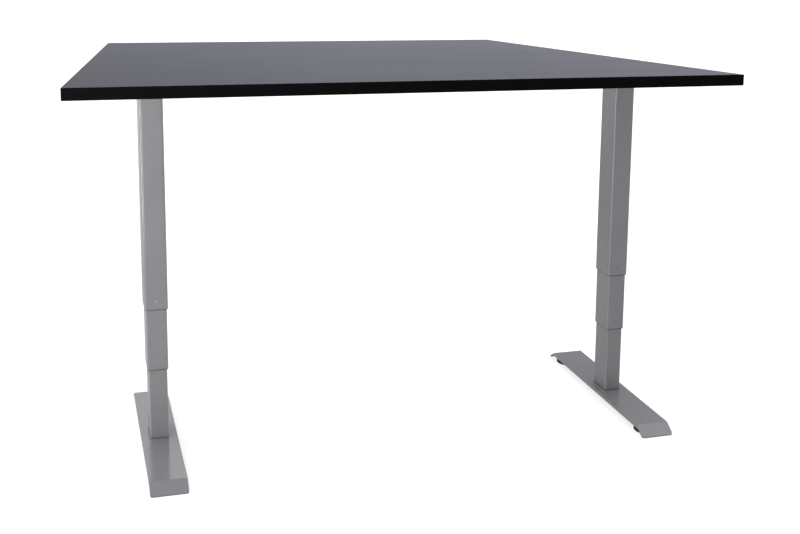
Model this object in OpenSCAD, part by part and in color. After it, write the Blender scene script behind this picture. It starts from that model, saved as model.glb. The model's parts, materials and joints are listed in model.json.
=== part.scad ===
// Height adjustable standing desk: a trapezoid top on two three-stage electric columns.
// Millimetres, +Z up. The origin is on the floor under the middle of the desk's bounding box,
// +X runs along the long front edge to the right and +Y runs from the front edge to the back.

/* [Top] */
// Height of the top surface above the floor, as the desk stands
desk_h = 840; // [700:1:900]
// Length of the front edge of the top
top_front_w = 1460; // [1400:1:1700]
// Length of the back edge of the top
top_back_w = 1034; // [900:1:1200]
// How far the middle of the back edge lies to the right of the middle of the front edge
top_back_shift = -92; // [-120:1:0]
// Depth of the top from the front edge to the back edge
top_depth = 910; // [860:1:1000]
// Thickness of the top
top_t = 25; // [22:0.5:30]
// Thickness of the edge band round the top
band_t = 2; // [1:0.5:3]
// Distance from the front edge of the top to the middle of the columns
front_overhang = 280; // [260:1:320]

/* [Columns] */
// Distance between the middles of the two columns
leg_spacing = 1100; // [1000:1:1180]
// Width of the upper tube, along X
upper_w = 50; // [48:1:54]
// Depth of the upper tube, along Y
upper_d = 80; // [78:1:84]
// How much smaller each tube is than the one round it
tube_step = 5; // [5:0.5:6]
// Wall of the three tubes
tube_wall = 1.5; // [1.2:0.1:1.6]
// Outer corner radius of the upper tube
tube_r = 5; // [4:0.5:6]
// Height of the upper tube's lower end above the floor
upper_z = 320; // [310:1:340]
// Height of the middle tube's lower end above the floor
middle_z = 182; // [175:1:190]
// Length of the middle tube
middle_len = 446; // [440:1:450]
// Length of the lower tube
lower_len = 430; // [420:1:434]

/* [Feet] */
// Length of a foot from end to end
foot_len = 584; // [560:1:620]
// Length of a foot's flat part
foot_flat = 520; // [500:1:530]
// Width of a foot
foot_w = 78; // [74:1:90]
// Thickness of the foot's sheet metal
foot_t = 3; // [2.5:0.5:4]
// Height of the foot's folded sides
foot_side_h = 8; // [7:0.5:13]
// Height of the foot plate's top face
foot_top = 22; // [21:0.5:26]
// Height of the upper edge of the bent ends' tips
foot_tip = 3.5; // [3:0.5:5]
// Corner radius at the tips
foot_r = 7; // [3:0.5:12]
// Distance from the column to each levelling foot
glide_y = 242; // [220:1:243]
// Radius of a levelling foot's pad
glide_r = 35; // [20:0.5:35]

/* [Under frame] */
// Height of the two long rails
rail_h = 20; // [18:1:22]
// Width of the two long rails
rail_w = 25; // [20:1:30]
// Thickness of the head plates and the support arms
head_t = 5; // [4:0.5:6]
// Length of a support arm
arm_len = 420; // [360:5:460]

/* [Controls] */
// Length of the control box, along X
box_w = 240; // [200:5:280]
// Depth of the control box, along Y
box_d = 110; // [90:5:140]
// Height of the control box
box_h = 33; // [30:1:36]
// Length of the handset, along X
handset_w = 110; // [90:1:130]
// Depth of the handset, along Y
handset_d = 56; // [50:1:70]
// Height of the handset
handset_h = 15; // [14:0.5:16]
// Distance from the front edge of the top to the handset's front face
handset_back = 120; // [115:1:200]

/* [Hidden] */
$fn = 64;

steel_grey = [0.60, 0.61, 0.62];
bare_steel = [0.70, 0.70, 0.71];
black = [0.05, 0.05, 0.06];
white_plastic = [0.85, 0.85, 0.83];
brass = [0.72, 0.58, 0.30];
board_green = [0.08, 0.30, 0.16];
eps = 0.01;

// Places. The bounding box runs from the feet's front tips to the back edge of the top.
leg_x = leg_spacing / 2;
back_overhang = top_depth - front_overhang;
leg_y = -(back_overhang - foot_len / 2) / 2;
top_front_y = leg_y - front_overhang;
top_under = desk_h - top_t;
upper_top = top_under - head_t;
foot_under = foot_top - foot_t;
foot_bend = atan((foot_top - foot_tip) / ((foot_len - foot_flat) / 2));
foot_side_z = foot_top - foot_side_h;
foot_tip_low = [foot_len / 2 - foot_t * sin(foot_bend), foot_tip - foot_t * cos(foot_bend)];
foot_side_end = foot_tip_low[0] - (foot_side_z - foot_tip_low[1]) / tan(foot_bend);
// One end of the foot's outside, seen from the side, as distance from the column and height
foot_half_outline = [
  [foot_side_end, foot_side_z],
  foot_tip_low,
  [foot_len / 2, foot_tip],
  [foot_flat / 2, foot_top]
];

// Tubes, from the outside inwards. Each has a gap of tube_step / 2 - tube_wall round it.
middle_w = upper_w - tube_step;
middle_d = upper_d - tube_step;
lower_w = middle_w - tube_step;
lower_d = middle_d - tube_step;
middle_r = tube_r - 0.75;
lower_r = tube_r - 1.5;
slide_gap = 0.2;
touch_gap = 0.3;
middle_top = middle_z + middle_len;
lower_top = foot_top + lower_len;

// Guides and collars between the tubes
guide_h = 30;
collar_h = 35;
guide_drop = 5;
collar_lip = 1;
collar_lip_inset = 0.3;
collar_screw_lift = 18;
collar_screw_r = 2.8;
collar_screw_pin_r = 1.4;
collar_screw_sink = 0.4;

// Drive
thread_pitch = 6;
thread_depth = 1;
rod_r = 6;
rod_journal_r = 5;
rod_bottom = upper_top - 410;
hollow_r = 10;
hollow_bore_r = rod_r + touch_gap;
hollow_flange_r = 13;
hollow_flange_h = 8;
hollow_bottom = foot_top + 208;
run_gap = 0.05;
nut_h = 36;
nut_thread_h = 16;
nut_floor_h = 6;
lower_nut_h = 16;
gearbox_h = 38;
gearbox_bottom = upper_top - 2 - gearbox_h;
worm_z = upper_top - 17;
worm_y = 16;
worm_r = 4;
worm_len = 24;
worm_shaft_r = 3;
worm_shaft_end = 32;
wheel_r = 11.6;
wheel_teeth = 20;
wheel_h = 10;
bearing_r = 13;
bearing_h = 8;
motor_r = 16;
motor_start = 38;
motor_len = 100;
snout_r = 9;
snout_start = 20;

// Under frame
rail_y = upper_d / 2 + 1 + rail_w / 2;
rail_wall = 2;
rail_end = 40;
arm_w = 45;
arm_tip_w = 24;
head_x0 = -45;
head_x1 = 95;
head_y = 80;
arm_x = head_x1 + 2 + arm_w / 2;
bolt_x = [-32, 60, arm_x];
bolt_r = 3;
bolt_head_r = 5.5;
bolt_head_h = 3;
wood_screw_r = 2.25;
wood_screw_head_r = 4.5;
wood_screw_head_h = 2.5;
wood_screw_len = 15;
head_screws = [for (x = [-35, 85]) for (s = [-1, 1]) [x, s * 73]];
arm_screws = [for (y = [90, 195]) for (s = [-1, 1]) [arm_x, s * y]];

// Foot fasteners
foot_screw_r = 3;
foot_screw_head_r = 5.5;
foot_screw_head_h = 3;
foot_screw_len = 11;
foot_screw_at = [for (x = [-11, 11]) for (y = [-22, 22]) [x, y]];
end_plate_t = 8;
glide_pad_h = 11;
glide_stud_r = 4;
glide_stud_top = 18;
boss_r = 8;
boss_bottom = 13;

// Control box and handset
shell_t = 2.5;
box_x = -100;
box_y = leg_y + 80;
box_ear = 14;
box_ear_x = (box_w + box_ear) / 2;
box_screw_inset = 25;
box_screws = [
  for (s = [-1, 1])
    for (y = [box_screw_inset, box_d - box_screw_inset])
      [box_x + s * box_ear_x, box_y + y]
];
box_floor = top_under - box_h;
inlet_w = 28;
inlet_h = 20;
inlet_depth = 22;
inlet_wall = 2.5;
inlet_z = box_floor + 6;
inlet_x = box_x + box_w / 2 - 50;
inlet_rim = 3;
inlet_rim_t = 2;
socket_w = 16;
socket_h = 11;
socket_z = box_floor + 10;
socket_x = [for (i = [0 : 2]) box_x - box_w / 2 + 38 + i * 30];
board_t = 1.6;
board_gap = 3;
board_post = 4;
board_post_r = 3;
board_z = box_floor + shell_t + board_post;
board_w = box_w - 2 * shell_t - 2 * board_gap;
board_d = box_d - 2 * shell_t - inlet_depth - 2 * board_gap;
capacitor_r = 7;
capacitor_h = 16;
transformer = [36, 30, 18];
handset_x = 528;
handset_y = top_front_y + handset_back;
handset_lid_t = 2;
handset_ear = 12;
handset_ear_x = (handset_w + handset_ear) / 2;
handset_screw_y = 32;
handset_screws = [for (s = [-1, 1]) [handset_x + s * handset_ear_x, handset_y + handset_screw_y]];
button_w = 16;
button_h = 6;
button_gap = 0.3;
button_proud = 2;
button_spread = 24;
button_flange = 2;
button_z = top_under - handset_h / 2 - 1;

// ---- helpers ----

// Rounded rectangle centred on the origin
module rounded_rect(w, d, r) {
  union() {
    square([w - 2 * r, d], center = true);
    square([w, d - 2 * r], center = true);
    for (x = [-1, 1])
      for (y = [-1, 1])
        translate([x * (w / 2 - r), y * (d / 2 - r)])
          circle(r);
  }
}

// A sleeve of rounded rectangles from z0 to z0 + h
module sleeve(w, d, r, inner_w, inner_d, inner_r, z0, h) {
  translate([0, 0, z0])
    difference() {
      linear_extrude(h)
        rounded_rect(w, d, r);
      translate([0, 0, -1])
        linear_extrude(h + 2)
          rounded_rect(inner_w, inner_d, inner_r);
    }
}

module tube(w, d, r, z0, h) {
  sleeve(w, d, r, w - 2 * tube_wall, d - 2 * tube_wall, r - tube_wall, z0, h);
}

// A cylinder from z0 up by h
module rod(r, z0, h) {
  translate([0, 0, z0])
    cylinder(r = r, h = h);
}

// A cylinder along X at the worm's height
module worm_rod(r, x0, x1) {
  translate([x0, worm_y, worm_z])
    rotate([0, 90, 0])
      cylinder(r = r, h = x1 - x0);
}

// Side is -1 for the left leg and 1 for the right leg. Local +X points to the other leg.
module at_leg(side) {
  translate([side * leg_x, leg_y, 0])
    mirror([side > 0 ? 1 : 0, 0, 0])
      children();
}

function leg_point(side, p) = [side * (leg_x - p[0]), leg_y + p[1]];

// Outline of the top, moved inwards by d
function side_slope(s) = (top_back_shift + s * (top_back_w - top_front_w) / 2) / top_depth;
function side_x(s, d, y) =
  s * top_front_w / 2 + side_slope(s) * (y - top_front_y) - s * d * sqrt(1 + side_slope(s) ^ 2);
function top_outline(d) = [
  for (e = [[-1, 0], [1, 0], [1, 1], [-1, 1]])
    let (y = top_front_y + (e[1] == 0 ? d : top_depth - d))
      [side_x(e[0], d, y), y]
];

// ---- top ----

wood_screw_points = concat(
  [for (s = [-1, 1]) for (p = head_screws) leg_point(s, p)],
  [for (s = [-1, 1]) for (p = arm_screws) leg_point(s, p)],
  box_screws,
  handset_screws
);
// Thickness of the plate or ear under each screw's head, in the same order
wood_screw_grip = concat(
  [for (s = [-1, 1]) for (p = head_screws) head_t],
  [for (s = [-1, 1]) for (p = arm_screws) head_t],
  [for (p = box_screws) shell_t],
  [for (p = handset_screws) handset_lid_t]
);

module tabletop_board() {
  color(black)
    difference() {
      translate([0, 0, top_under])
        linear_extrude(top_t)
          polygon(top_outline(band_t));
      for (p = wood_screw_points)
        translate([p[0], p[1], top_under - 1])
          cylinder(r = wood_screw_r, h = wood_screw_len + 1);
    }
}

module edge_band() {
  color(black)
    translate([0, 0, top_under])
      difference() {
        linear_extrude(top_t)
          polygon(top_outline(0));
        translate([0, 0, -1])
          linear_extrude(top_t + 2)
            polygon(top_outline(band_t));
      }
}

// ---- feet ----

// Side view of the foot's outside: flat in the middle, bent down at both ends, open below
module foot_side_view() {
  polygon([
    for (s = [-1, 1])
      for (p = s < 0 ? foot_half_outline : [for (i = [3 : -1 : 0]) foot_half_outline[i]])
        [s * p[0], p[1]]
  ]);
}

// Side view of the space inside the foot
module foot_space_view() {
  below = -1;
  under_y = foot_flat / 2 - foot_t * tan(foot_bend / 2);
  out_y = under_y + (foot_under - below) / tan(foot_bend);
  polygon([[-out_y, below], [-under_y, foot_under], [under_y, foot_under], [out_y, below]]);
}

// A side view pulled out to a width across the foot
module across_foot(width) {
  rotate([90, 0, 90])
    translate([0, 0, -width / 2])
      linear_extrude(width)
        children();
}

module foot_plate() {
  color(steel_grey)
    difference() {
      union() {
        difference() {
          intersection() {
            across_foot(foot_w)
              foot_side_view();
            linear_extrude(foot_top + 1)
              rounded_rect(foot_w, foot_len, foot_r);
          }
          across_foot(foot_w - 2 * foot_t)
            foot_space_view();
        }
        for (s = [-1, 1])
          translate([0, s * glide_y, 0])
            rod(boss_r, boss_bottom, foot_under - boss_bottom + eps);
      }
      for (s = [-1, 1])
        translate([0, s * glide_y, 0])
          rod(glide_stud_r + run_gap, boss_bottom - 1, glide_stud_top + 0.5 - boss_bottom + 1);
      for (p = foot_screw_at)
        translate([p[0], p[1], 0])
          rod(foot_screw_r + run_gap, foot_under - 1, foot_t + 2);
    }
}

module foot_screws() {
  color(bare_steel)
    for (p = foot_screw_at)
      translate([p[0], p[1], 0])
        union() {
          difference() {
            rod(foot_screw_head_r, foot_under - foot_screw_head_h, foot_screw_head_h);
            translate([0, 0, foot_under - foot_screw_head_h - eps])
              cylinder(r = 2.3, h = 1.8, $fn = 6);
          }
          rod(foot_screw_r, foot_under - eps, foot_screw_len + eps);
        }
}

// A levelling foot: a rubber pad with a threaded stud. Its turning axis is the stud.
module glide() {
  color(black)
    rotate_extrude()
      polygon([
        [0, 0],
        [glide_r - 2, 0],
        [glide_r, 2],
        [glide_r - 1, glide_pad_h - 2],
        [glide_r - 5, glide_pad_h],
        [glide_stud_r + 3, glide_pad_h],
        [glide_stud_r, glide_pad_h + 1],
        [glide_stud_r, glide_stud_top - 0.5],
        [glide_stud_r - 0.5, glide_stud_top],
        [0, glide_stud_top]
      ]);
}

module glide_at(side, end) {
  at_leg(side)
    translate([0, end * glide_y, 0])
      glide();
}

// ---- column tubes ----

// Flush screw hole in a tube's front face, near its lower end
module collar_screw_hole(d, z0) {
  translate([0, -d / 2 - 1, z0 + collar_screw_lift])
    rotate([-90, 0, 0])
      cylinder(r = collar_screw_r, h = tube_wall + 2);
}

module collar_screw(d, z0) {
  color(bare_steel)
    translate([0, -d / 2 + collar_screw_sink, z0 + collar_screw_lift])
      rotate([-90, 0, 0])
        difference() {
          union() {
            cylinder(r = collar_screw_r, h = tube_wall - collar_screw_sink);
            cylinder(r = collar_screw_pin_r, h = tube_wall - collar_screw_sink + 0.6);
          }
          translate([0, 0, -eps])
            cylinder(r = 1.3, h = 0.7, $fn = 6);
        }
}

module lower_tube() {
  color(steel_grey)
    difference() {
      union() {
        tube(lower_w, lower_d, lower_r, foot_top, lower_len);
        translate([0, 0, foot_top])
          linear_extrude(end_plate_t)
            rounded_rect(lower_w - tube_wall, lower_d - tube_wall, lower_r - tube_wall / 2);
      }
      for (p = foot_screw_at)
        translate([p[0], p[1], 0])
          rod(foot_screw_r + run_gap, foot_top - 1, end_plate_t + 2);
    }
}

module middle_tube() {
  color(steel_grey)
    difference() {
      tube(middle_w, middle_d, middle_r, middle_z, middle_len);
      collar_screw_hole(middle_d, middle_z);
    }
}

module upper_tube() {
  color(steel_grey)
    difference() {
      tube(upper_w, upper_d, tube_r, upper_z, upper_top - upper_z);
      collar_screw_hole(upper_d, upper_z);
      worm_rod(snout_r + 0.3, upper_w / 2 - tube_wall - 1, upper_w / 2 + 1);
    }
}

// ---- guides and collars ----

// A sliding shoe round the top of an inner tube
module guide(w, d, r, top_z) {
  gap = tube_step / 2 - tube_wall - slide_gap;
  color(white_plastic)
    sleeve(w + 2 * gap, d + 2 * gap, r + gap, w, d, r, top_z - guide_drop - guide_h, guide_h);
}

// A liner in the lower end of an outer tube, which the next tube runs through.
// Its lip covers the tube's end face.
module collar(w, d, r, z0) {
  inner = tube_wall;
  gap = tube_step / 2 - slide_gap;
  color(black)
    difference() {
      union() {
        translate([0, 0, z0 - eps])
          linear_extrude(collar_h + eps)
            rounded_rect(w - 2 * inner, d - 2 * inner, r - inner);
        translate([0, 0, z0 - collar_lip])
          linear_extrude(collar_lip)
            rounded_rect(w - 2 * collar_lip_inset, d - 2 * collar_lip_inset, r - collar_lip_inset);
      }
      translate([0, 0, z0 - collar_lip - 1])
        linear_extrude(collar_h + collar_lip + 2)
          rounded_rect(w - 2 * gap, d - 2 * gap, r - inner - 0.4);
      translate([0, -d / 2, z0 + collar_screw_lift])
        rotate([-90, 0, 0])
          cylinder(r = collar_screw_pin_r, h = tube_step);
    }
}

// ---- spindles, nuts and gears ----

// Ridges of a trapezoid thread as a turned profile, from z0 up by h
function ridges(r, z0, h) =
  let (count = floor(h / thread_pitch), p = thread_pitch, t = thread_depth)
    [for (i = [0 : count - 1]) for (q = [[r, 0], [r, p * 0.4], [r - t, p * 0.6], [r - t, p * 0.8]])
      [q[0], z0 + i * p + q[1]]];

module spindle_rod() {
  thread_z = gearbox_bottom - 2;
  color(bare_steel)
    rotate_extrude()
      polygon(concat(
        [[0, rod_bottom]],
        ridges(rod_r, rod_bottom, thread_z - rod_bottom),
        [[rod_r, thread_z], [rod_journal_r, thread_z + 1], [rod_journal_r, upper_top - 3], [0, upper_top - 3]]
      ));
}

module hollow_spindle() {
  top_z = middle_top - nut_thread_h - 4;
  flange_z = top_z - hollow_flange_h;
  color(bare_steel)
    rotate_extrude()
      polygon(concat(
        [[hollow_bore_r, hollow_bottom]],
        ridges(hollow_r, hollow_bottom, flange_z - hollow_bottom - nut_floor_h - 4),
        [
          [hollow_r, flange_z],
          [hollow_flange_r, flange_z],
          [hollow_flange_r, top_z],
          [hollow_bore_r, top_z]
        ]
      ));
}

// Block in the middle tube's top: the rod's nut above, and the hollow spindle's bearing below
module upper_nut() {
  block_z = middle_top - 2 - nut_h;
  recess_z = block_z + nut_floor_h;
  color(white_plastic)
    difference() {
      translate([0, 0, block_z])
        linear_extrude(nut_h)
          rounded_rect(middle_w - 2 * tube_wall, middle_d - 2 * tube_wall, middle_r - tube_wall);
      rod(rod_r + run_gap, block_z - 1, nut_h + 2);
      rod(hollow_flange_r + touch_gap, recess_z, nut_h - nut_floor_h - nut_thread_h);
      rod(hollow_r + touch_gap, block_z - 1, nut_floor_h + 2);
    }
}

module lower_nut() {
  block_z = lower_top - 4 - lower_nut_h;
  color(brass)
    difference() {
      translate([0, 0, block_z])
        linear_extrude(lower_nut_h)
          rounded_rect(lower_w - 2 * tube_wall, lower_d - 2 * tube_wall, lower_r - tube_wall);
      rod(hollow_r + run_gap, block_z - 1, lower_nut_h + 2);
    }
}

module worm_wheel() {
  color(brass)
    translate([0, 0, worm_z - wheel_h / 2])
      difference() {
        linear_extrude(wheel_h)
          polygon([
            for (i = [0 : wheel_teeth - 1])
              for (q = [[-0.30, 1.2], [-0.14, 0], [0.14, 0], [0.30, 1.2]])
                let (a = (i + q[0]) * 360 / wheel_teeth)
                  [(wheel_r - q[1]) * cos(a), (wheel_r - q[1]) * sin(a)]
          ]);
        translate([0, 0, -1])
          cylinder(r = rod_journal_r, h = wheel_h + 2);
      }
}

module worm() {
  color(bare_steel)
    union() {
      worm_rod(worm_r, -worm_len / 2, worm_len / 2);
      worm_rod(worm_shaft_r, worm_len / 2 - eps, worm_shaft_end);
    }
}

module gearbox() {
  color(bare_steel)
    difference() {
      translate([0, 0, gearbox_bottom])
        linear_extrude(gearbox_h)
          rounded_rect(upper_w - 2 * tube_wall, upper_d - 2 * tube_wall, tube_r - tube_wall);
      rod(rod_journal_r + 1.5, gearbox_bottom - 1, gearbox_h + 2);
      rod(bearing_r, gearbox_bottom + 2, bearing_h);
      rod(wheel_r + 0.6, worm_z - wheel_h / 2 - 0.5, wheel_h + 1);
      worm_rod(worm_r + 0.5, -worm_len / 2 - 1, upper_w / 2);
      worm_rod(snout_r, snout_start, upper_w / 2);
    }
}

module motor() {
  color(black)
    difference() {
      union() {
        worm_rod(snout_r, snout_start, motor_start + eps);
        worm_rod(motor_r, motor_start, motor_start + motor_len);
        worm_rod(motor_r - 6, motor_start + motor_len - eps, motor_start + motor_len + 6);
      }
      worm_rod(worm_shaft_r + 0.3, snout_start - 1, worm_shaft_end + 2);
    }
}

module spindle_bearing() {
  color(bare_steel)
    translate([0, 0, gearbox_bottom + 2])
      rotate_extrude()
        polygon([
          [rod_journal_r + run_gap, 0],
          [rod_journal_r + 2.4, 0],
          [rod_journal_r + 2.4, 0.6],
          [bearing_r - 2.4, 0.6],
          [bearing_r - 2.4, 0],
          [bearing_r, 0],
          [bearing_r, bearing_h],
          [bearing_r - 2.4, bearing_h],
          [bearing_r - 2.4, bearing_h - 0.6],
          [rod_journal_r + 2.4, bearing_h - 0.6],
          [rod_journal_r + 2.4, bearing_h],
          [rod_journal_r + run_gap, bearing_h]
        ]);
}

// ---- under frame ----

// The rail bolts' blind threaded holes in the head plate and the support arm
module frame_bolt_holes() {
  for (x = bolt_x)
    for (s = [-1, 1])
      translate([x, s * rail_y, 0])
        rod(bolt_r, upper_top - 1, head_t);
}

module head_plate() {
  color(steel_grey)
    difference() {
      translate([(head_x0 + head_x1) / 2, 0, upper_top])
        linear_extrude(head_t)
          rounded_rect(head_x1 - head_x0, 2 * head_y, 6);
      for (p = head_screws)
        translate([p[0], p[1], 0])
          rod(wood_screw_r, upper_top - 1, head_t + 2);
      frame_bolt_holes();
    }
}

module support_arm() {
  taper = 60;
  half = arm_len / 2;
  color(steel_grey)
    difference() {
      translate([arm_x, 0, upper_top])
        linear_extrude(head_t)
          polygon([
            for (q = [[-1, -1], [1, -1], [1, 1], [-1, 1]])
              for (e = q[0] == q[1] ? [0, 1] : [1, 0])
                [q[0] * (e == 0 ? arm_w : arm_tip_w) / 2, q[1] * (e == 0 ? half - taper : half)]
          ]);
      for (p = arm_screws)
        translate([p[0], p[1], 0])
          rod(wood_screw_r, upper_top - 1, head_t + 2);
      frame_bolt_holes();
    }
}

// Side is -1 for the front rail and 1 for the rear rail
module rail(side) {
  half = leg_x + rail_end;
  color(steel_grey)
    translate([0, leg_y + side * rail_y, upper_top - rail_h])
      difference() {
        translate([-half, -rail_w / 2, 0])
          cube([2 * half, rail_w, rail_h]);
        translate([-half - 1, -rail_w / 2 + rail_wall, rail_wall])
          cube([2 * half + 2, rail_w - 2 * rail_wall, rail_h - 2 * rail_wall]);
        for (leg = [-1, 1])
          for (x = bolt_x)
            translate([leg * (leg_x - x), 0, -1])
              cylinder(r = bolt_r, h = rail_h + 2);
      }
}

module rail_bolts() {
  color(bare_steel)
    for (leg = [-1, 1])
      at_leg(leg)
        for (x = bolt_x)
          for (s = [-1, 1])
            translate([x, s * rail_y, upper_top - rail_h])
              difference() {
                union() {
                  translate([0, 0, -bolt_head_h])
                    cylinder(r = bolt_head_r, h = bolt_head_h);
                  translate([0, 0, -eps])
                    cylinder(r = bolt_r, h = rail_h + head_t - 1);
                }
                translate([0, 0, -bolt_head_h - eps])
                  cylinder(r = 2.3, h = 1.8, $fn = 6);
              }
}

module wood_screws() {
  color(bare_steel)
    for (i = [0 : len(wood_screw_points) - 1])
      translate([wood_screw_points[i][0], wood_screw_points[i][1], top_under - wood_screw_grip[i]])
        difference() {
          union() {
            translate([0, 0, -wood_screw_head_h])
              cylinder(r = wood_screw_head_r, h = wood_screw_head_h);
            translate([0, 0, -eps])
              cylinder(r = wood_screw_r, h = wood_screw_grip[i] + wood_screw_len - 1);
          }
          for (a = [0, 90])
            rotate(a)
              translate([-2.2, -0.45, -wood_screw_head_h - eps])
                cube([4.4, 0.9, 1.3]);
        }
}

// ---- controls ----

module control_box_base() {
  color(black)
    difference() {
      translate([box_x - box_w / 2, box_y, box_floor])
        cube([box_w, box_d, box_h - shell_t]);
      translate([box_x - box_w / 2 + shell_t, box_y + shell_t, box_floor + shell_t])
        cube([box_w - 2 * shell_t, box_d - 2 * shell_t, box_h]);
      // Mains inlet in the back wall, and the motor and handset sockets in the front wall
      translate([inlet_x - inlet_w / 2, box_y + box_d - shell_t - 1, inlet_z])
        cube([inlet_w, shell_t + 2, inlet_h]);
      for (x = socket_x)
        translate([x - socket_w / 2, box_y - 1, socket_z])
          cube([socket_w, shell_t + 2, socket_h]);
    }
}

module control_box_cover() {
  color(black)
    difference() {
      translate([box_x - box_w / 2 - box_ear, box_y, top_under - shell_t])
        cube([box_w + 2 * box_ear, box_d, shell_t]);
      for (p = box_screws)
        translate([p[0], p[1], top_under - shell_t - 1])
          cylinder(r = wood_screw_r, h = shell_t + 2);
    }
}

// Board with its posts below, and capacitors and a transformer above
module control_board() {
  x0 = box_x - board_w / 2;
  y0 = box_y + shell_t + board_gap;
  color(board_green)
    union() {
      translate([x0, y0, board_z])
        cube([board_w, board_d, board_t]);
      for (i = [0 : 3])
        translate([x0 + 25 + i * 55, y0 + board_d / 2, board_z - board_post])
          cylinder(r = board_post_r, h = board_post + eps);
      for (i = [0 : 2])
        translate([x0 + 60 + i * 40, y0 + board_d - 20, board_z + board_t - eps])
          cylinder(r = capacitor_r, h = capacitor_h);
      translate([x0 + board_w - 60, y0 + 10, board_z + board_t - eps])
        cube(transformer);
    }
}

module mains_inlet() {
  x0 = inlet_x - inlet_w / 2;
  y0 = box_y + box_d - inlet_depth;
  color(black)
    difference() {
      union() {
        translate([x0, y0, inlet_z])
          cube([inlet_w, inlet_depth, inlet_h]);
        translate([x0 - inlet_rim, box_y + box_d, inlet_z - inlet_wall])
          cube([inlet_w + 2 * inlet_rim, inlet_rim_t, inlet_h + 2 * inlet_wall]);
      }
      translate([x0 + inlet_wall, y0 + 4, inlet_z + inlet_wall])
        cube([inlet_w - 2 * inlet_wall, inlet_depth, inlet_h - 2 * inlet_wall]);
    }
}

module handset_base() {
  floor_z = top_under - handset_h;
  color(black)
    difference() {
      translate([handset_x - handset_w / 2, handset_y, floor_z])
        cube([handset_w, handset_d, handset_h - handset_lid_t]);
      translate([handset_x - handset_w / 2 + shell_t, handset_y + shell_t, floor_z + handset_lid_t])
        cube([handset_w - 2 * shell_t, handset_d - 2 * shell_t, handset_h]);
      for (s = [-1, 1])
        translate([
          handset_x + s * button_spread - button_w / 2 - button_gap,
          handset_y - 1,
          button_z - button_h / 2 - button_gap
        ])
          cube([button_w + 2 * button_gap, shell_t + 2, button_h + 2 * button_gap]);
    }
}

module handset_cover() {
  color(black)
    difference() {
      translate([handset_x - handset_w / 2 - handset_ear, handset_y, top_under - handset_lid_t])
        cube([handset_w + 2 * handset_ear, handset_d, handset_lid_t]);
      for (p = handset_screws)
        translate([p[0], p[1], top_under - handset_lid_t - 1])
          cylinder(r = wood_screw_r, h = handset_lid_t + 2);
    }
}

// A key with a flange behind the handset's front wall
module button(s) {
  flange_gap = 0.05;
  color(white_plastic)
    translate([handset_x + s * button_spread, handset_y, button_z])
      union() {
        translate([-button_w / 2, -button_proud, -button_h / 2])
          cube([button_w, button_proud + shell_t + 6, button_h]);
        translate([-button_w / 2 - 2, shell_t + flange_gap, -button_h / 2 - 1])
          cube([button_w + 4, button_flange, button_h + 2]);
      }
}

// ---- nodes ----

tabletop_board();
edge_band();
at_leg(-1) foot_plate();  // left_foot_plate
at_leg(1) foot_plate();  // right_foot_plate
at_leg(-1) foot_screws();  // left_foot_screws
at_leg(1) foot_screws();  // right_foot_screws
glide_at(-1, -1);  // left_front_glide
glide_at(-1, 1);  // left_rear_glide
glide_at(1, -1);  // right_front_glide
glide_at(1, 1);  // right_rear_glide
at_leg(-1) lower_tube();  // left_lower_tube
at_leg(1) lower_tube();  // right_lower_tube
at_leg(-1) middle_tube();  // left_middle_tube
at_leg(1) middle_tube();  // right_middle_tube
at_leg(-1) upper_tube();  // left_upper_tube
at_leg(1) upper_tube();  // right_upper_tube
at_leg(-1) guide(lower_w, lower_d, lower_r, lower_top);  // left_lower_guide
at_leg(1) guide(lower_w, lower_d, lower_r, lower_top);  // right_lower_guide
at_leg(-1) guide(middle_w, middle_d, middle_r, middle_top);  // left_middle_guide
at_leg(1) guide(middle_w, middle_d, middle_r, middle_top);  // right_middle_guide
at_leg(-1) collar(middle_w, middle_d, middle_r, middle_z);  // left_middle_collar
at_leg(1) collar(middle_w, middle_d, middle_r, middle_z);  // right_middle_collar
at_leg(-1) collar(upper_w, upper_d, tube_r, upper_z);  // left_upper_collar
at_leg(1) collar(upper_w, upper_d, tube_r, upper_z);  // right_upper_collar
at_leg(-1) collar_screw(middle_d, middle_z);  // left_middle_collar_screw
at_leg(1) collar_screw(middle_d, middle_z);  // right_middle_collar_screw
union() {  // upper_collar_screws
  at_leg(-1) collar_screw(upper_d, upper_z);
  at_leg(1) collar_screw(upper_d, upper_z);
}
at_leg(-1) lower_nut();  // left_lower_nut
at_leg(1) lower_nut();  // right_lower_nut
at_leg(-1) upper_nut();  // left_upper_nut
at_leg(1) upper_nut();  // right_upper_nut
at_leg(-1) hollow_spindle();  // left_hollow_spindle
at_leg(1) hollow_spindle();  // right_hollow_spindle
at_leg(-1) spindle_rod();  // left_spindle_rod
at_leg(1) spindle_rod();  // right_spindle_rod
at_leg(-1) worm_wheel();  // left_worm_wheel
at_leg(1) worm_wheel();  // right_worm_wheel
at_leg(-1) worm();  // left_worm
at_leg(1) worm();  // right_worm
at_leg(-1) gearbox();  // left_gearbox
at_leg(1) gearbox();  // right_gearbox
at_leg(-1) motor();  // left_motor
at_leg(1) motor();  // right_motor
union() {  // spindle_bearings
  at_leg(-1) spindle_bearing();
  at_leg(1) spindle_bearing();
}
at_leg(-1) head_plate();  // left_head_plate
at_leg(1) head_plate();  // right_head_plate
at_leg(-1) support_arm();  // left_support_arm
at_leg(1) support_arm();  // right_support_arm
rail(-1);  // front_rail
rail(1);  // rear_rail
rail_bolts();
wood_screws();
control_box_base();
control_box_cover();
control_board();
mains_inlet();
handset_base();
handset_cover();
button(1);  // up_button
button(-1);  // down_button
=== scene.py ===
import json
import math
import bpy
import bmesh
from mathutils import Matrix, Vector


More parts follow.
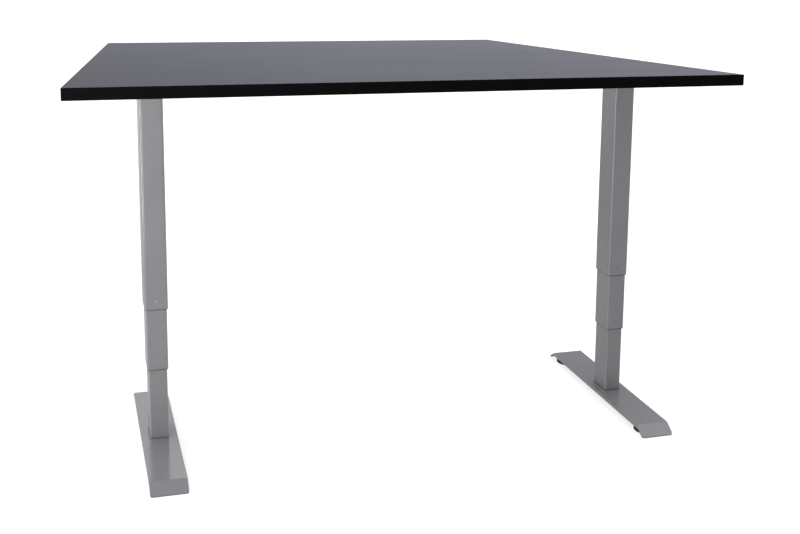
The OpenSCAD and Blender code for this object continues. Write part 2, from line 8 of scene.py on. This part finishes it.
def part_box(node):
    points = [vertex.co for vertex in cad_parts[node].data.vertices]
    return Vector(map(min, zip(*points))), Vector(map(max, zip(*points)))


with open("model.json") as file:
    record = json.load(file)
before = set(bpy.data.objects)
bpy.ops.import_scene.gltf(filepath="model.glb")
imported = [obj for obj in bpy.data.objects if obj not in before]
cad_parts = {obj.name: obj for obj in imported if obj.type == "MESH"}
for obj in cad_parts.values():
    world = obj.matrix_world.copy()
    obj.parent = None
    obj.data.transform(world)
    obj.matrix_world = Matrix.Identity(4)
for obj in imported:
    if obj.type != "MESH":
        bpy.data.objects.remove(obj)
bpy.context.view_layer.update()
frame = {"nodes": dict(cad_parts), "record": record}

NODES = frame["nodes"]
SIDES = ("left", "right")
MM = 0.001


def middle(node):
    """The centre of a node's box at rest."""
    low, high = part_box(node)
    return (Vector(low) + Vector(high)) / 2


COLUMNS = {side: middle(side + "_upper_tube") for side in SIDES}
BETWEEN = (COLUMNS["left"] + COLUMNS["right"]) / 2


# ---- camera ----

def make_camera():
    """A view from the front left, a little above the top. Angles are in radians, places in metres."""
    yaw = 0.32950
    pitch = 0.18019
    roll = 0.02088
    left_of = 0.7279
    in_front = 2.7547
    height = 1.1533
    place = Vector((BETWEEN.x - left_of, BETWEEN.y - in_front, height))
    forward = Vector((math.sin(yaw) * math.cos(pitch), math.cos(yaw) * math.cos(pitch), -math.sin(pitch)))
    level = Vector((math.cos(yaw), -math.sin(yaw), 0.0))
    upright = level.cross(forward)
    right = math.cos(roll) * level + math.sin(roll) * upright
    up = math.cos(roll) * upright - math.sin(roll) * level
    data = bpy.data.cameras.new("camera")
    data.sensor_width = 36.0
    data.lens = 56.44
    data.shift_x = -0.107
    data.shift_y = -0.1385
    data.clip_end = 200.0
    camera = bpy.data.objects.new("camera", data)
    turn = Matrix((right, up, -forward)).transposed().to_4x4()
    camera.matrix_world = Matrix.Translation(place) @ turn
    bpy.context.scene.collection.objects.link(camera)
    bpy.context.scene.camera = camera


# ---- shader helpers ----

# A colour mix node's own colour sockets share their names with its other sockets.
MIX_FIRST = 6
MIX_SECOND = 7
MIX_RESULT = 2


class Tree:
    """A node tree under construction."""

    def __init__(self, tree):
        self.tree = tree

    def add(self, kind, **values):
        node = self.tree.nodes.new(kind)
        for key, value in values.items():
            setattr(node, key, value)
        return node

    def link(self, source, target):
        self.tree.links.new(source, target)

    def feed(self, socket, value):
        """A constant, a colour or another node's output into a socket."""
        if isinstance(value, bpy.types.NodeSocket):
            self.link(value, socket)
        elif isinstance(value, tuple):
            socket.default_value = (*value, 1.0)
        else:
            socket.default_value = value

    def spread(self, value, low, high, start=0.3, end=0.7):
        """Maps value from start..end to low..high."""
        node = self.add("ShaderNodeMapRange")
        node.inputs["From Min"].default_value = start
        node.inputs["From Max"].default_value = end
        node.inputs["To Min"].default_value = low
        node.inputs["To Max"].default_value = high
        self.link(value, node.inputs["Value"])
        return node.outputs["Result"]

    def blend(self, factor, first, second, how="MIX"):
        """A colour between first and second; each is a colour or another node's output."""
        node = self.add("ShaderNodeMix", data_type="RGBA", blend_type=how)
        self.feed(node.inputs["Factor"], factor)
        self.feed(node.inputs[MIX_FIRST], first)
        self.feed(node.inputs[MIX_SECOND], second)
        return node.outputs[MIX_RESULT]

    def math(self, operation, first, second=0.0):
        node = self.add("ShaderNodeMath", operation=operation)
        self.feed(node.inputs[0], first)
        self.feed(node.inputs[1], second)
        return node.outputs["Value"]


class Shader(Tree):
    """A material under construction."""

    def __init__(self, name):
        self.material = bpy.data.materials.new(name)
        self.material.use_nodes = True
        super().__init__(self.material.node_tree)
        self.surface = self.tree.nodes["Principled BSDF"]
        self.place = self.add("ShaderNodeTexCoord").outputs["Object"]

    def scaled(self, size):
        """Object coordinates in units of size metres along x, y and z."""
        node = self.add("ShaderNodeMapping")
        node.inputs["Scale"].default_value = [1.0 / s for s in size]
        self.link(self.place, node.inputs["Vector"])
        return node.outputs["Vector"]

    def noise(self, size, detail=3.0, rough=0.5):
        """Noise whose features are size metres across, or size[0..2] along x, y and z."""
        if isinstance(size, float):
            size = (size, size, size)
        node = self.add("ShaderNodeTexNoise")
        node.inputs["Scale"].default_value = 1.0
        node.inputs["Detail"].default_value = detail
        node.inputs["Roughness"].default_value = rough
        self.link(self.scaled(size), node.inputs["Vector"])
        return node.outputs["Fac"]

    def edges(self, radius):
        """0 on flat faces, rising to 1 on sharp edges."""
        bevel = self.add("ShaderNodeBevel", samples=4)
        bevel.inputs["Radius"].default_value = radius
        flat = self.add("ShaderNodeNewGeometry").outputs["Normal"]
        dot = self.add("ShaderNodeVectorMath", operation="DOT_PRODUCT")
        self.link(bevel.outputs["Normal"], dot.inputs[0])
        self.link(flat, dot.inputs[1])
        return self.spread(dot.outputs["Value"], 1.0, 0.0, 0.80, 0.98)

    def corners(self):
        """0 on faces square to an axis, rising to 1 on the corners between them."""
        normal = self.add("ShaderNodeSeparateXYZ")
        self.link(self.add("ShaderNodeTexCoord").outputs["Normal"], normal.inputs["Vector"])
        sizes = [self.math("ABSOLUTE", normal.outputs[axis]) for axis in "XYZ"]
        largest = self.math("MAXIMUM", self.math("MAXIMUM", sizes[0], sizes[1]), sizes[2])
        return self.spread(largest, 1.0, 0.0, 0.75, 0.97)

    def crevices(self, reach):
        """1 in the open, falling to 0 in joints narrower than reach."""
        node = self.add("ShaderNodeAmbientOcclusion", samples=8)
        node.inputs["Distance"].default_value = reach
        return self.spread(node.outputs["AO"], 0.0, 1.0, 0.35, 0.95)

    def bump(self, height, distance):
        node = self.add("ShaderNodeBump")
        node.inputs["Distance"].default_value = distance
        self.link(height, node.inputs["Height"])
        return node.outputs["Normal"]

    def finish(self, colour, roughness, normal):
        self.link(colour, self.surface.inputs["Base Color"])
        self.link(roughness, self.surface.inputs["Roughness"])
        self.link(normal, self.surface.inputs["Normal"])

    def set(self, **values):
        """Constants on the shader's own sockets, by name with _ for a space."""
        for key, value in values.items():
            self.feed(self.surface.inputs[key.replace("_", " ")], value)


def tinted(colour, factor, lift=0.0):
    return tuple(min(1.0, c * factor + lift) for c in colour)


# ---- materials ----

# Sizes in metres: the radius of a rubbed edge, and the widest joint that gets painted shade.
RUBBED = 0.0008
JOINT = 0.006


def powder_coat(name, colour, roughness=0.36, metallic=0.12, peel=0.00005, corner_highlight=0.0, joint_shade=0.5):
    """Semi-gloss powder coat with orange peel, metal flake, marks and rubbed edges, painted shade
    darkening its joints and, where asked, a painted highlight along its rounded corners.
    """
    s = Shader(name)
    cloud = s.noise(0.11, 2.0)
    dust = s.noise((0.03, 0.03, 0.12), 4.0, 0.6)
    flake = s.noise(0.0009, 1.0)
    base = s.blend(s.spread(cloud, 0.0, 1.0), tinted(colour, 0.97), tinted(colour, 1.03))
    speck = s.blend(s.spread(flake, 0.0, 0.30, 0.52, 0.8), base, tinted(colour, 1.35))
    surface_colour = s.blend(s.math("MULTIPLY", s.edges(RUBBED), 0.20), speck, tinted(colour, 1.5))
    # Painted highlight: the rounded corners are lightened, standing in for the lamps' gleam on them.
    if corner_highlight:
        surface_colour = s.blend(s.math("MULTIPLY", s.corners(), corner_highlight), surface_colour, tinted(colour, 2.0))
    # Painted shade: joints narrower than JOINT are darkened by their ambient occlusion, standing in for
    # the shadow that falls there.
    surface_colour = s.blend(s.spread(s.crevices(JOINT), joint_shade, 0.0, 0.0, 1.0), surface_colour, tinted(colour, 0.12))
    marks = s.spread(cloud, roughness - 0.01, roughness + 0.01)
    marks = s.math("ADD", marks, s.spread(dust, -0.006, 0.012))
    s.finish(surface_colour, marks, s.bump(s.noise(0.0022, 2.0), peel))
    s.set(Metallic=metallic, Specular_IOR_Level=0.5)
    return s.material


def laminate(name, colour):
    """Black satin high-pressure laminate with a fine pearl texture and faint wiping marks."""
    s = Shader(name)
    cloud = s.noise(0.35, 3.0)
    streak = s.noise((0.5, 0.06, 0.5), 3.0)
    pearl = s.noise(0.0009, 2.0)
    base = s.blend(s.spread(cloud, 0.0, 1.0), tinted(colour, 0.92), tinted(colour, 1.08))
    grain = s.blend(s.spread(pearl, 0.0, 1.0, 0.35, 0.75), base, tinted(colour, 1.5))
    wiped = s.math("ADD", s.spread(cloud, 0.20, 0.22), s.spread(streak, -0.008, 0.010))
    s.finish(grain, wiped, s.bump(pearl, 0.00002))
    s.set(Specular_IOR_Level=0.5)
    return s.material


def moulded(name, colour, roughness=0.5, grain=0.0007, depth=0.00005, specular=0.4, wear=0.3):
    """Moulded plastic with a spark-eroded grain."""
    s = Shader(name)
    cloud = s.noise(0.03, 3.0)
    pits = s.noise(grain, 2.0)
    base = s.blend(s.spread(cloud, 0.0, 1.0), tinted(colour, 0.88), tinted(colour, 1.1))
    surface_colour = s.blend(s.math("MULTIPLY", s.edges(RUBBED), wear), base, tinted(colour, 1.5, 0.008))
    s.finish(surface_colour, s.spread(cloud, roughness - 0.05, roughness + 0.06), s.bump(pits, depth))
    s.set(Specular_IOR_Level=specular)
    return s.material


def metal(name, colour, roughness=0.3, size=(0.002, 0.002, 0.0002), depth=0.00003):
    """Bare metal with tool marks; size is the marks' scale along x, y and z."""
    s = Shader(name)
    marks = s.noise(size, 3.0)
    cloud = s.noise(0.02, 3.0)
    base = s.blend(s.spread(cloud, 0.0, 1.0), tinted(colour, 0.8), colour)
    lit = s.blend(s.math("MULTIPLY", s.edges(0.0005), 0.4), base, tinted(colour, 1.25))
    s.finish(lit, s.spread(marks, roughness - 0.08, roughness + 0.1), s.bump(marks, depth))
    s.set(Metallic=1.0)
    return s.material


def solder_mask(name, colour):
    """A green circuit board with copper tracks under its mask; colour is the tracks'."""
    s = Shader(name)
    cells = s.add("ShaderNodeTexBrick")
    cells.inputs["Scale"].default_value = 1.0
    cells.inputs["Mortar Size"].default_value = 0.06
    s.link(s.scaled((0.012, 0.008, 0.012)), cells.inputs["Vector"])
    base = s.blend(cells.outputs["Fac"], (0.01, 0.10, 0.045), colour)
    s.finish(base, s.spread(s.noise(0.01), 0.25, 0.4), s.bump(cells.outputs["Fac"], 0.00003))
    return s.material


def make_materials():
    """One finish for each material slot in the record."""
    # The smooth coats darken their joints more, as painted shade.
    smooth = dict(metallic=0.03, peel=0.000008, joint_shade=0.7)
    fine = (0.0008, 0.0008, 0.0008)
    finishes = {
        "laminate": (laminate, (0.008, 0.0085, 0.012), {}),
        "edge_band": (moulded, (0.0010, 0.0010, 0.0013),
                      dict(roughness=0.55, grain=0.0006, depth=0.00002, specular=0.05, wear=0.6)),
        "foot_coat": (powder_coat, (0.250, 0.253, 0.263), dict(roughness=0.14, **smooth)),
        # The columns' coat gets a painted highlight along its rounded corners.
        "column_coat": (powder_coat, (0.218, 0.220, 0.229), dict(roughness=0.22, corner_highlight=0.55, **smooth)),
        "frame_coat": (powder_coat, (0.24, 0.242, 0.252), dict(roughness=0.34, metallic=0.05)),
        "screw_steel": (metal, (0.30, 0.30, 0.31), dict(roughness=0.36)),
        "glide_plastic": (moulded, (0.010, 0.010, 0.011),
                          dict(roughness=0.55, grain=0.0009, depth=0.00008, specular=0.35)),
        "slide_plastic": (moulded, (0.68, 0.68, 0.64), dict(roughness=0.42)),
        "bronze": (metal, (0.60, 0.42, 0.20), dict(roughness=0.35)),
        "spindle_steel": (metal, (0.52, 0.52, 0.53), dict(roughness=0.25)),
        "cast_housing": (metal, (0.50, 0.51, 0.52), dict(roughness=0.5, size=fine, depth=0.00008)),
        "motor_coat": (powder_coat, (0.018, 0.018, 0.02), dict(roughness=0.4, metallic=0.0)),
        "box_plastic": (moulded, (0.014, 0.014, 0.016), dict(roughness=0.5, grain=0.0009, depth=0.00009)),
        "inlet_plastic": (moulded, (0.01, 0.01, 0.01), dict(roughness=0.25, grain=0.001, depth=0.00001)),
        "circuit_board": (solder_mask, (0.03, 0.22, 0.09), {}),
        "key_plastic": (moulded, (0.30, 0.31, 0.32), dict(roughness=0.45)),
    }
    return {slot: make(slot, colour, **values) for slot, (make, colour, values) in finishes.items()}


def paint_nodes(materials):
    """Gives every carried-over node the finish that the record names for it."""
    for part in frame["record"]["subparts"]:
        mesh = NODES[part["node"]].data
        mesh.materials.clear()
        mesh.materials.append(materials[part["material_slot"]])


# ---- rounded edges ----

# The end of a node's name: its edges' radius in millimetres, and the steps round it.
EASED = {
    "edge_band": (0.9, 3),
    "_foot_plate": (0.9, 3),
    "_motor": (1.2, 3),
    "control_box_base": (1.2, 3),
    "control_box_cover": (0.7, 2),
    "mains_inlet": (0.6, 2),
    "handset_base": (1.2, 3),
    "handset_cover": (0.6, 2),
    "_button": (0.6, 2),
}
# Corners this close are one, faces this level are one, and edges sharper than this are rounded.
SAME_PLACE = 0.00001
SAME_FACE = math.radians(0.5)
SHARP = math.radians(35.0)


def ease_edges():
    """Rounds the sharp edges of plain nodes that show."""
    for name, node in NODES.items():
        for ending, (radius, steps) in EASED.items():
            if name.endswith(ending):
                weld = node.modifiers.new("weld", "WELD")
                weld.merge_threshold = SAME_PLACE
                flat = node.modifiers.new("flat", "DECIMATE")
                flat.decimate_type = "DISSOLVE"
                flat.angle_limit = SAME_FACE
                bevel = node.modifiers.new("ease", "BEVEL")
                bevel.width = radius * MM
                bevel.segments = steps
                bevel.limit_method = "ANGLE"
                bevel.angle_limit = SHARP
                bevel.use_clamp_overlap = True
                bevel.harden_normals = True


# ---- studio ----

# How much light the floor sends back: at the feet, round the desk, far off, and to the camera.
# The glow is what the camera alone sees on top of that.
FLOOR_CLOSE = 0.80
FLOOR_NEAR = 0.58
FLOOR_FAR = 0.95
FLOOR_SHOWN = 0.50
FLOOR_GLOW = 0.76
# The distances from the middle over which one gives way to the next.
CLOSE_TO_NEAR = (0.7, 1.4)
NEAR_TO_FAR = (1.5, 7.0)


def make_floor():
    """A pale floor. It glows to the camera alone, so it reads as white and shadows on it stay faint."""
    bm = bmesh.new()
    bmesh.ops.create_circle(bm, cap_ends=True, segments=96, radius=60.0)
    mesh = bpy.data.meshes.new("floor")
    bm.to_mesh(mesh)
    bm.free()
    floor = bpy.data.objects.new("floor", mesh)
    bpy.context.scene.collection.objects.link(floor)
    s = Shader("floor_paper")
    away = s.add("ShaderNodeVectorMath", operation="LENGTH")
    s.link(s.place, away.inputs[0])
    inner = s.spread(away.outputs["Value"], FLOOR_CLOSE, FLOOR_NEAR, *CLOSE_TO_NEAR)
    outer = s.spread(away.outputs["Value"], FLOOR_NEAR, FLOOR_FAR, *NEAR_TO_FAR)
    seen = s.add("ShaderNodeLightPath").outputs["Is Camera Ray"]
    most = s.spread(seen, 1.0, FLOOR_SHOWN, 0.0, 1.0)
    grey = s.math("MINIMUM", s.math("MAXIMUM", inner, outer), most)
    grey = s.math("MULTIPLY", grey, s.spread(s.noise(0.5), 0.995, 1.005))
    s.link(grey, s.surface.inputs["Base Color"])
    s.set(Roughness=0.95, Specular_IOR_Level=0.0, Emission_Color=(1.0, 1.0, 1.0))
    s.link(s.math("MULTIPLY", seen, FLOOR_GLOW), s.surface.inputs["Emission Strength"])
    mesh.materials.append(s.material)


BACK_WALL_LOW = (0.66, 0.67, 0.79)
BACK_WALL_HIGH = (0.20, 0.20, 0.23)
BACK_WALL_CORNER = (0.05, 0.05, 0.06)
FRONT_WALL = (0.34, 0.34, 0.35)
LEFT_WALL = (0.58, 0.58, 0.60)
CEILING = (0.82, 0.82, 0.83)
# Where the surfaces of the room meet, as the X, Y or Z part of the direction towards them.
UP_THE_BACK = (0.05, 0.16)
OUT_OF_THE_CORNER = (0.0, 0.2)
ALONG_THE_BACK = (0.1, 0.6)
FRONT_TO_BACK = (-0.3, 0.8)
LEFT_TO_MIDDLE = (-0.9, -0.3)
WALL_TO_CEILING = (0.15, 0.8)


def make_room():
    """A grey room: cooler behind the desk, darker in front, lighter overhead; white to the camera."""
    world = bpy.data.worlds.new("room")
    bpy.context.scene.world = world
    world.use_nodes = True
    world.node_tree.nodes.clear()
    t = Tree(world.node_tree)
    split = t.add("ShaderNodeSeparateXYZ")
    t.link(t.add("ShaderNodeTexCoord").outputs["Generated"], split.inputs["Vector"])
    x, y, z = (split.outputs[axis] for axis in "XYZ")

    def between(value, limits, first, second):
        return t.blend(t.spread(value, 0.0, 1.0, *limits), first, second)

    high = between(x, OUT_OF_THE_CORNER, BACK_WALL_CORNER, BACK_WALL_HIGH)
    back = between(z, UP_THE_BACK, BACK_WALL_LOW, high)
    back = t.blend(1.0, back, t.spread(x, 0.89, 1.14, *ALONG_THE_BACK), "MULTIPLY")
    ends = between(y, FRONT_TO_BACK, FRONT_WALL, back)
    walls = between(x, LEFT_TO_MIDDLE, LEFT_WALL, ends)
    shell = between(z, WALL_TO_CEILING, walls, CEILING)
    room = t.add("ShaderNodeBackground")
    t.link(shell, room.inputs["Color"])
    paper = t.add("ShaderNodeBackground")
    paper.inputs["Color"].default_value = (1.0, 1.0, 1.0, 1.0)
    either = t.add("ShaderNodeMixShader")
    t.link(t.add("ShaderNodeLightPath").outputs["Is Camera Ray"], either.inputs["Fac"])
    t.link(room.outputs["Background"], either.inputs[1])
    t.link(paper.outputs["Background"], either.inputs[2])
    t.link(either.outputs["Shader"], t.add("ShaderNodeOutputWorld").inputs["Surface"])


def add_lamp(name, kind, place, towards, energy, **values):
    """A lamp that the camera doesn't see."""
    data = bpy.data.lights.new(name, kind)
    data.energy = energy
    for key, value in values.items():
        setattr(data, key, value)
    lamp = bpy.data.objects.new(name, data)
    turn = towards.to_track_quat("-Z", "Y").to_matrix().to_4x4()
    lamp.matrix_world = Matrix.Translation(place) @ turn
    lamp.visible_camera = False
    bpy.context.scene.collection.objects.link(lamp)


def make_lights():
    """A broad soft light overhead, a softbox in front of the left column and a strip low at its left."""
    left = COLUMNS["left"]
    above = left + Vector((0.0, 0.0, 0.5))
    in_front = left + Vector((-0.55, -2.0, -0.15))
    beside = left + Vector((-1.75, -0.6, -0.3))
    down = Vector((0.25, -0.55, -1.0))
    add_lamp("overhead", "SUN", Vector(), down, energy=1.4, angle=math.radians(95.0))
    add_lamp("softbox", "AREA", in_front, left - in_front, energy=7.5,
             shape="RECTANGLE", size=0.9, size_y=0.8, spread=math.radians(110.0))
    add_lamp("strip", "AREA", beside, above - beside, energy=0.9, size=0.4, spread=math.radians(32.0))
    bpy.context.scene.view_settings.view_transform = "Standard"


make_camera()
make_floor()
make_room()
make_lights()
paint_nodes(make_materials())
ease_edges()
